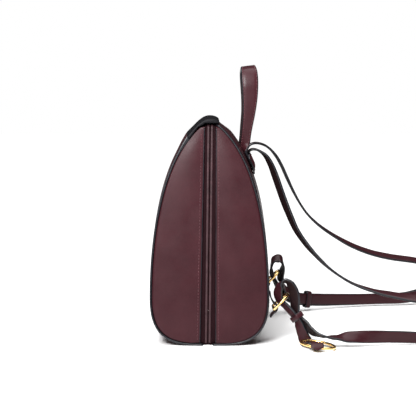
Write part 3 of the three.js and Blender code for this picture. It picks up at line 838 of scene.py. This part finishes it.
def handle():
    """A folded leather grip; each foot turns flat and is sewn down under the yoke."""

    def leg(side):
        root = [[*over_back(side * HANDLE_HALF, height, 2.3), [1, 0, 0]] for height in HANDLE_ROOT]
        return [
            *root,
            [side * HANDLE_HALF, 45.6, 245.4, [0.75, 0.65, 0]],
            [side * HANDLE_HALF, HANDLE_FOOT[0] - 0.4, HANDLE_FOOT[1], [0.2, 1, 0]],
            [side * (HANDLE_HALF + 0.3), 48.6, 270, [0, 1, 0]],
            [side * (HANDLE_HALF + 0.6), 51.4, 291, [0, 1, 0]],
            [side * (HANDLE_HALF + 0.4), 52.7, 311, [0, 1, 0]],
            [side * (HANDLE_HALF - 1), 52.5, 330, [0, 1, 0]],
            [side * (HANDLE_HALF - 7), 51.6, 344.5, [0, 1, 0.08]],
            [side * (HANDLE_HALF - 18), 51.2, HANDLE_TOP - 2.4, [0, 1, 0.12]],
        ]

    route = Route([*leg(1), *reversed(leg(-1))])

    def width(t):
        edge = min(t, 1 - t)
        legs = HANDLE_NARROW + ramp(0.02, 0.16, edge)
        return legs + 9 * ramp(0.2, 0.4, edge) - 2.5 * ramp(0.4, 0.48, edge)

    def thickness(t):
        return 3.0 + 1.9 * ramp(0.12, 0.3, min(t, 1 - t))

    piece = strap("handle_leather", route, width, thickness, 190, [BURGUNDY, INNER, PAINT])
    for made in (piece, *handle_stitches(route, width, thickness)):
        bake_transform(made)
    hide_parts("handle")


def handle_stitches(route, width, thickness):
    rows = []
    for number, way in enumerate((-1, 1)):
        line, ups = [], []
        for t in np.linspace(0.15, 0.85, 200):
            centre, across, face, _ = route.frame(t)
            line.append(centre + across * way * (width(t) / 2 - 1.9) + face * thickness(t) * 0.53)
            ups.append(face)
        rows.append(stitches(f"handle_stitches_{number}", line, ups, None, pitch=3.4, length=2.6))
    return rows


def over_back(x, height, away):
    """A point over the back leather: height there, and distance away from it."""
    s = at_height(height)
    crown = (1 - (x / half_width(height)) ** 2) * swell(1, s)
    y, z = outline_point(1, s, away + crown)
    return np.array((x, y, z))


def rooted(x):
    """The sewn root of a strap, on the back leather under the yoke."""
    places = [over_back(x, height, 0.4 + STRAP_THICK / 2) for height in (223.5, 229, 234.5)]
    return [[*place, [1, 0, 0]] for place in places]


# The shoulder straps, station by station: yoke, upper run, turn, lower run,
# keeper, loop through the ring, keeper, buckle and tail.
RIGHT_STRAP = [
    *rooted(25),
    [25, 51.6, 240.6, [1, 0, 0]],
    [25.2, 55.4, 243, [1, 0, 0]],
    [25.6, 60.6, 243, [1, 0.05, 0]],
    [26.2, 66.6, 240.4, [1, 0.15, 0]],
    [27.2, 73.6, 234.6, [1, 0.3, 0]],
    [29, 79.8, 224.6, [1, 0.4, 0]],
    [31.4, 85.8, 209.6, [1, 0.5, 0]],
    [34.4, 91.2, 194, [1, 0.5, 0]],
    [38, 97.6, 175.8, [1, 0.5, 0]],
    [43, 104.8, 157.7, [1, 0.45, 0]],
    [48, 113, 139.6, [1, 0.4, 0]],
    [54, 125.4, 121.6, [1, 0.3, 0.1]],
    [61, 142.6, 102.6, [1, 0.15, 0.1]],
    [66, 159, 88.2, [1, 0.05, 0.08]],
    [70.6, 182.8, 73.4, [1, 0, 0.05]],
    [76, 208, 64.6, [1, 0, -0.05]],
    [82, 234, 59.6, [1, 0, -0.25]],
    [88, 264, 55.8, [1, 0, -0.5]],
    [94, 300, 52.4, [1, 0, -0.5]],
    [100, 334, 48.6, [1, 0, -0.1]],
    [104, 356, 38, [1, 0, 0]],
    [105, 362, 24, [1, 0, 0]],
    [106, 352, 9, [1, 0, 0]],
    [107, 330, 4.2, [1, 0, 0.1]],
    [108, 298, 6.4, [1, 0, 0.7]],
    [110, 262, 9.8, [0.3, 0, 1]],
    [113, 230, 11.5, [0.2, 0, 1]],
    [117, 203, 12.4, [-0.1, 0, 1]],
    [119.5, 178, 12.6, [-0.65, 0, 0.75]],
    [119, 158, 11.8, [-1, 0, 0.05]],
    [116.5, 141, 13.4, [-0.95, -0.05, -0.3]],
    [111.5, 128.6, 18.6, [-0.85, -0.25, -0.5]],
    [105.6, 120.6, 26.4, [-0.85, -0.5, -0.2]],
    [102.4, 115.1, 31.7, [-0.85, -0.5, -0.1]],
    [101.1, 109.8, 39.7, [-0.85, -0.45, -0.1]],
    [101.2, 108.6, 48, [-0.78, -0.6, 0]],
    [101.2, 108.2, 57, [-0.74, -0.67, 0]],
    [101, 107.2, 66, [-0.74, -0.67, -0.05]],
    [99.4, 103.4, 74.6, [-0.8, -0.45, -0.4]],
    [97.4, 97.8, 79.2, [-0.87, 0, -0.5]],
    [95.8, 92.6, 77.4, [-0.95, -0.05, -0.25]],
    [94.6, 89.2, 71.5, [-0.85, -0.45, 0]],
    [93.8, 87.4, 63.5, [-0.8, -0.6, 0]],
    [94.4, 89.4, 55.5, [-0.82, -0.57, 0]],
    [98, 97.6, 47, [-0.85, -0.52, 0]],
    [102.2, 106.1, 38, [-0.85, -0.45, -0.1]],
    [104.2, 112.2, 30, [-0.85, -0.5, -0.1]],
    [105.4, 115, 22, [-0.75, -0.65, -0.15]],
    [106.8, 117.8, 14.4, [-0.6, -0.75, -0.2]],
    [108.8, 120.8, 6.6, [-0.35, -0.92, -0.1]],
    [113.6, 124, 2, [-0.25, -0.97, 0]],
    [121, 127, 1.7, [-0.25, -0.97, 0]],
    [129, 129.8, 3.6, [-0.2, -0.98, 0]],
    [138, 131.6, 8.6, [-0.1, -1, 0]],
    [146.6, 132.4, 10, [-0.05, -1, 0]],
    [151.8, 132.8, 6.8, [-0.05, -1, 0]],
    [153.2, 133, 3.2, [-0.05, -1, 0]],
]
LEFT_STRAP = [
    *rooted(-25),
    [-25, 51, 241, [1, 0, 0]],
    [-25.1, 54.6, 246.2, [1, 0, 0]],
    [-25.2, 60.2, 248.6, [1, 0, 0]],
    [-25.6, 66.2, 248.6, [1, 0, 0]],
    [-26.6, 74.6, 246, [1, 0, 0]],
    [-28, 82.8, 240.2, [1, 0.05, 0]],
    [-30, 91.1, 230.4, [1, 0.1, 0]],
    [-32, 98.5, 217.4, [1, 0.1, 0]],
    [-35, 106, 201, [1, 0.1, 0]],
    [-38, 114.6, 183, [1, 0.05, 0]],
    [-42, 124.8, 164.7, [1, 0, 0]],
    [-46, 136, 149, [1, 0, 0]],
    [-50.5, 150.6, 134.8, [1, 0, -0.05]],
    [-55, 168, 122, [1, 0, -0.1]],
    [-62, 197, 105, [1, 0, -0.25]],
    [-69, 226, 93, [1, 0, -0.3]],
    [-76, 255, 85.5, [1, 0, -0.35]],
    [-84, 293, 79, [1, 0, -0.35]],
    [-93, 326, 70, [1, 0, 0.1]],
    [-104, 357, 59, [1, 0.3, 0.7]],
    [-117, 383, 49, [0.6, 0.3, 1]],
    [-132, 393, 41, [0, 0, 1]],
    [-148, 389, 33.5, [0, 0, 1]],
    [-158, 377, 28, [0, 0, 1]],
    [-161.6, 362, 24, [0, 0, 1]],
    [-161.9, 346, 21.4, [0, 0, 1]],
    [-161.8, 328, 18.5, [0, 0, 1]],
    [-161.6, 309, 14.5, [0, 0, 1]],
    [-160.4, 288, 11.4, [0, 0, 1]],
    [-156.6, 254, 11, [0, 0, 1]],
    [-149.4, 220.6, 11.6, [0, 0, 1]],
    [-139.4, 188, 13.4, [0, 0, 1]],
    [-126.4, 155.4, 16, [0, 0, 1]],
    [-114, 130, 19.6, [-0.1, 0, 1]],
    [-106.6, 117, 26, [-0.5, 0.1, 0.95]],
    [-101.4, 107.2, 38, [-0.85, 0, 0.4]],
    [-98.8, 102.2, 50, [-0.88, -0.45, 0]],
    [-97.6, 104, 61, [-0.93, -0.3, 0.1]],
    [-97, 105.4, 71, [-0.98, -0.05, 0.2]],
    [-96.5, 100.6, 79.8, [-0.8, 0, 0.6]],
    [-96, 92.6, 78.4, [-0.88, 0, 0.45]],
    [-95.4, 89, 70, [-1, 0, 0.05]],
    [-95, 88.8, 61, [-0.95, 0.25, 0]],
    [-96, 92, 52, [-0.95, 0.2, 0]],
    [-99.6, 99, 38, [-0.9, 0.2, 0.2]],
    [-107.6, 110.6, 25, [-0.5, 0.1, 0.95]],
    [-119, 129, 17, [-0.1, 0, 1]],
    [-130.8, 156.6, 13, [0, 0, 1]],
    [-143.8, 189.6, 11.2, [0, 0, 1]],
    [-153.8, 222, 10.4, [0, 0, 1]],
    [-161, 255, 10.4, [0, 0, 1]],
    [-166.2, 289, 11, [0, 0, 1]],
    [-170.6, 309, 14.5, [0, 0, 1]],
    [-172, 321, 17.4, [0, 0, 1]],
    [-172, 330, 19, [0, 0, 1]],
    [-169.8, 340, 20.6, [0, 0, 1]],
    [-167.8, 349, 21.6, [0, 0, 1]],
    [-167.4, 357, 22.2, [0, 0, 1]],
]


def shoulder_straps():
    for suffix, stations in (("r", RIGHT_STRAP), ("l", LEFT_STRAP)):
        route = Route(stations)

        def width(t):
            tail = 1 - ramp(0.985, 1.0, t) * 0.75
            return STRAP_WIDTH * tail

        piece = strap(f"strap_leather_{suffix}", route, width, lambda t: STRAP_THICK, 620,
                      [BURGUNDY, INNER, PAINT])
        finished(piece, ROOT, "leather", f"shoulder_strap_{suffix}")


YOKE_HALF = 54
YOKE_LOW, YOKE_HIGH = 211, 234
YOKE_THICK = 2.0
ROOTS = (25, 42)


def yoke_lift(x, height):
    """How far the yoke stands off the back over the roots of straps and handle."""
    over_roots = max(math.exp(-((abs(x) - root) / 11) ** 4) for root in ROOTS)
    return 0.3 + 4.3 * ramp(YOKE_LOW, 221, height) * (0.35 + 0.65 * over_roots)


def yoke():
    """The leather patch over the roots of the handle and the straps."""
    outer, inner = [], []
    for height in np.linspace(YOKE_LOW, YOKE_HIGH, 24):
        corner = 5 * (1 - ramp(0, 6, height - YOKE_LOW)) + 2 * (1 - ramp(0, 4, YOKE_HIGH - height))
        half = YOKE_HALF - corner
        xs = np.linspace(-half, half, 65)
        outer.append([over_back(x, height, yoke_lift(x, height) + YOKE_THICK) for x in xs])
        inner.append([over_back(x, height, yoke_lift(x, height)) for x in xs])
    piece = shell("yoke_leather", outer, inner, [BURGUNDY, INNER, PAINT])
    finished(piece, ROOT, "leather", "back_yoke")
    inset, base = 4, (YOKE_LOW + 3, YOKE_HIGH - 2.5)
    half = YOKE_HALF - inset - 2
    corners = [(-half, base[1]), (-half, base[0] + 2), (-half + 3, base[0]), (half - 3, base[0]),
               (half, base[0] + 2), (half, base[1]), (-half, base[1])]
    line, ups = [], []
    for (xa, ha), (xb, hb) in zip(corners, corners[1:]):
        for w in np.linspace(0, 1, max(3, int(abs(xb - xa) / 2)), endpoint=False):
            x, height = xa + (xb - xa) * w, ha + (hb - ha) * w
            line.append(over_back(x, height, yoke_lift(x, height) + YOKE_THICK + 0.1))
            ups.append(outline_normal(1, at_height(height)))
    stitches("yoke_stitches", line, ups, ROOT)


# ---- rings, tabs, keepers and buckles ----
RING_HALF = 12.5
RING_ARM = 12.5
RING_X = 95
RING_BAR_Y, RING_BAR_Z = 81.4, 45.5
RING_TILT = math.radians(44)


def wire(name, points, radius, sides=14, fine=6):
    """Round wire along a smooth closed line through the points."""
    points = [np.array(p, float) for p in points]
    count = len(points)
    line = []
    for j in range(count):
        a, b, c, d = (points[(j + k) % count] for k in (-1, 0, 1, 2))
        for w in np.linspace(0, 1, fine, endpoint=False):
            line.append(0.5 * (2 * b + (c - a) * w + (2 * a - 5 * b + 4 * c - d) * w * w
                               + (3 * b - 3 * c + d - a) * w ** 3))
    line = np.array(line)
    plane = unit(np.cross(line[len(line) // 4] - line[0], line[len(line) // 2] - line[0]))
    rings = []
    for j in range(len(line)):
        tangent = unit(line[(j + 1) % len(line)] - line[j - 1])
        out = unit(np.cross(tangent, plane))
        turns = [2 * math.pi * k / sides for k in range(sides)]
        rings.append([line[j] + radius * (out * math.cos(turn) + plane * math.sin(turn)) for turn in turns])
    return tube(name, rings, [GOLD], closed=True)


def rings():
    reach = np.array((0, math.cos(RING_TILT), math.sin(RING_TILT)))
    for suffix, side in SIDES:
        bar = np.array((side * RING_X, RING_BAR_Y, RING_BAR_Z))

        def at(a, b):
            return bar + np.array((a, 0, 0)) + reach * b

        bow = [at(RING_HALF * math.cos(turn), RING_ARM + RING_HALF * math.sin(turn))
               for turn in np.linspace(0, math.pi, 11)]
        points = [at(0, 0), at(RING_HALF - 2.5, 0), at(RING_HALF - 0.6, 0.6), at(RING_HALF, 2.5),
                  at(RING_HALF, RING_ARM / 2), *bow, at(-RING_HALF, RING_ARM / 2), at(-RING_HALF, 2.5),
                  at(-RING_HALF + 0.6, 0.6), at(-RING_HALF + 2.5, 0)]
        piece = wire(f"gold_ring_{suffix}", points, RING_WIRE)
        finished(piece, f"ring_{suffix}", "gold_metal", f"d_ring_{suffix}")
        ring_tab(suffix, side * RING_X)


def ring_tab(suffix, x):
    """A short leather tab that wraps the ring's bar and is sewn to the back."""
    route = Route([
        [x, 76.6, 66, [1, 0, 0]],
        [x, 78.0, 59, [1, 0, 0]],
        [x, 81.2, 52.6, [1, 0, 0]],
        [x, 84.8, 49.6, [1, 0, 0]],
        [x, 86.2, 45.6, [1, 0, 0]],
        [x, 84.4, 41.6, [1, 0, 0]],
        [x, 80.6, 38.4, [1, 0, 0]],
        [x, 77.4, 34, [1, 0, 0]],
    ])
    piece = strap(f"tab_leather_{suffix}", route, lambda t: STRAP_WIDTH, lambda t: 1.8, 60,
                  [INNER, BURGUNDY, PAINT])
    finished(piece, ROOT, "leather", f"ring_tab_{suffix}")


def keeper(name, middle, along, across, half_across, half_through, length, thickness, node):
    """A leather loop round both layers of a strap, with rounded corners."""
    t = unit(along)
    w = unit(np.array(across, float) - t * np.dot(across, t))
    n = np.cross(w, t)
    section = ((-1, 0), (-0.97, 0.7), (-0.8, 1.0), (0.8, 1.0),
               (0.97, 0.7), (1, 0), (0.8, -0.1), (-0.8, -0.1))
    rings_made = []
    for k in range(48):
        turn = 2 * math.pi * k / 48
        c, s = math.cos(turn), math.sin(turn)
        corner = [math.copysign(abs(v) ** 0.35, v) for v in (c, s)]
        ring = []
        for place, grow in section:
            a = half_across + grow * thickness
            b = half_through + grow * thickness
            ring.append(np.array(middle) + w * corner[0] * a + n * corner[1] * b + t * place * length / 2)
        rings_made.append(ring)
    piece = tube(name, rings_made, [BURGUNDY, PAINT], [1, 1, 0, 1, 1, 1, 0, 1], closed=True)
    finished(piece, ROOT, "leather", node)


def buckle(suffix, middle, lengthwise, crosswise, long_half, short_half):
    """An oval gold frame."""
    u = unit(lengthwise)
    w = unit(np.array(crosswise, float) - u * np.dot(crosswise, u))
    middle = np.array(middle, float)
    oval = [middle + u * long_half * math.cos(a) + w * short_half * math.sin(a)
            for a in np.linspace(0, 2 * math.pi, 28, endpoint=False)]
    frame_piece = wire(f"gold_buckle_{suffix}", oval, RING_WIRE)
    finished(frame_piece, ROOT, "gold_metal", f"buckle_{suffix}")


KEEPER_LENGTH = 7.5
KEEPER_THICK = 1.5


def keepers_and_buckles():
    keeper("keeper_leather_r", (102.5, 110.8, 34.9), (-0.2, -0.6, 0.8), (0.85, 0.5, 0.1),
           8.8, 4.4, KEEPER_LENGTH, KEEPER_THICK, "keeper_r")
    keeper("keeper_leather_l", (-122.4, 142.4, 16.4), (0.42, -0.9, 0.13), (0, 0, 1),
           10.6, 4.6, KEEPER_LENGTH, KEEPER_THICK, "keeper_l")
    buckle("r", (131.5, 134.8, 5.6), (0.42, 0.907, -0.1), (0.907, -0.42, 0), 22, 15)
    buckle("l", (-168.2, 346, 21.4), (0, 1, 0), (0, 0, 1), 20.6, 16.5)


# ---- slider and puller ----
SLIDER_Z = 40


def slider_and_puller():
    up = unit((SIDE_LEAN, SPLIT_LEAN, 1))
    out = unit((-1, 0, -SIDE_LEAN))
    base = np.array((-half_width(SLIDER_Z), split_y(SLIDER_Z), SLIDER_Z))

    def place(o, y, along):
        return base + out * o + np.array((0, y, 0)) + up * along

    def plate(name, low, high, stations, body, node):
        outer = [[place(high, half * v, along) for v in np.linspace(-1, 1, 9)] for along, half in stations]
        inner = [[place(low, half * v, along) for v in np.linspace(-1, 1, 9)] for along, half in stations]
        piece = shell(name, outer, inner, [GOLD], 0.6)
        finished(piece, body, "gold_metal", node)

    def smooth(stations, count):
        alongs = np.array([s[0] for s in stations], float)
        halves = np.array([s[1] for s in stations], float)
        return [(a, float(np.interp(a, alongs, halves))) for a in np.linspace(alongs[0], alongs[-1], count)]

    slider_outline = smooth(((-8, 3.0), (-5, 4.4), (4, 5.2), (9, 3.8)), 24)
    puller_outline = smooth(((-34, 2.6), (-32.5, 4.2), (-10, 3.2), (0, 2.4), (3, 1.6)), 40)
    plate("zip_slider_body", -2.2, -0.35, slider_outline, "slider", "zip_slider")
    plate("zip_puller_plate", 0.25, 1.7, puller_outline, "puller", "zip_puller")


# ---- floor, light and camera ----
FLOOR_REACH = 6
ROOM_LIGHT = 0.06
SUN_STRENGTH = 3.8
SUN_SPREAD = math.radians(60)
SUN_TILT = math.radians(4)


def softbox(name, place, target, size, power):
    """A square area light aimed at a target."""
    lamp = bpy.data.lights.new(name, "AREA")
    lamp.shape = "SQUARE"
    lamp.size, lamp.energy = size, power
    made = bpy.data.objects.new(name, lamp)
    made.location = place
    made.rotation_euler = (Vector(target) - Vector(place)).to_track_quat("-Z", "Y").to_euler()
    bpy.context.scene.collection.objects.link(made)


def studio():
    reach = FLOOR_REACH
    mesh = bpy.data.meshes.new("floor")
    corners = [(-reach, -reach, 0), (reach, -reach, 0), (reach, reach, 0), (-reach, reach, 0)]
    mesh.from_pydata(corners, [], [(0, 1, 2, 3)])
    floor = bpy.data.objects.new("floor", mesh)
    bpy.context.scene.collection.objects.link(floor)
    paint = material("pale_floor", (0.93, 0.93, 0.93), 0.75, Specular_IOR_Level=0.2)
    n = Nodes(paint)
    n.link(n.between(n.noise(3), (0.92, 0.92, 0.92), (0.94, 0.94, 0.94)), n.shader.inputs["Base Color"])
    mesh.materials.append(paint)

    world = bpy.data.worlds.new("studio")
    bpy.context.scene.world = world
    world.use_nodes = True
    background = world.node_tree.nodes["Background"]
    background.inputs["Color"].default_value = (1, 1, 1, 1)
    light_path = world.node_tree.nodes.new("ShaderNodeLightPath")
    strength = world.node_tree.nodes.new("ShaderNodeMapRange")
    strength.inputs["To Min"].default_value = ROOM_LIGHT
    strength.inputs["To Max"].default_value = 1.0
    world.node_tree.links.new(light_path.outputs["Is Camera Ray"], strength.inputs["Value"])
    world.node_tree.links.new(strength.outputs["Result"], background.inputs["Strength"])

    sun = bpy.data.lights.new("overhead", "SUN")
    sun.energy, sun.angle = SUN_STRENGTH, SUN_SPREAD
    overhead = bpy.data.objects.new("overhead", sun)
    overhead.rotation_euler = (0, SUN_TILT, 0)
    bpy.context.scene.collection.objects.link(overhead)
    softbox("key", (1.2, -0.35, 0.85), (0, 0, 0.2), 0.35, 23)
    softbox("crest", (0.42, -0.14, 0.62), (0.06, 0, 0.22), 0.25, 3.2)


CAMERA_DISTANCE = 1.6
CAMERA_ELEVATION = math.radians(6)
CAMERA_TARGET = Vector((0, -0.0019, 0.1629))
CAMERA_LENS = 103.15
CAMERA_SENSOR = 36


def camera():
    """A little above the bag's middle, looking at its right side."""
    lens = bpy.data.cameras.new("camera")
    lens.lens = CAMERA_LENS
    lens.sensor_width = CAMERA_SENSOR
    made = bpy.data.objects.new("camera", lens)
    back = Vector((math.cos(CAMERA_ELEVATION), 0, math.sin(CAMERA_ELEVATION)))
    made.location = CAMERA_TARGET + back * CAMERA_DISTANCE
    made.rotation_euler = (-back).to_track_quat("-Z", "Y").to_euler()
    bpy.context.scene.collection.objects.link(made)
    bpy.context.scene.camera = made


camera()
body_leather()
bindings()
side_panels()
linings()
zipper()
ridge_cap()
base_and_inside()
handle()
shoulder_straps()
yoke()
rings()
keepers_and_buckles()
slider_and_puller()
studio()

view_settings = bpy.context.scene.view_settings
view_settings.view_transform = "Standard"
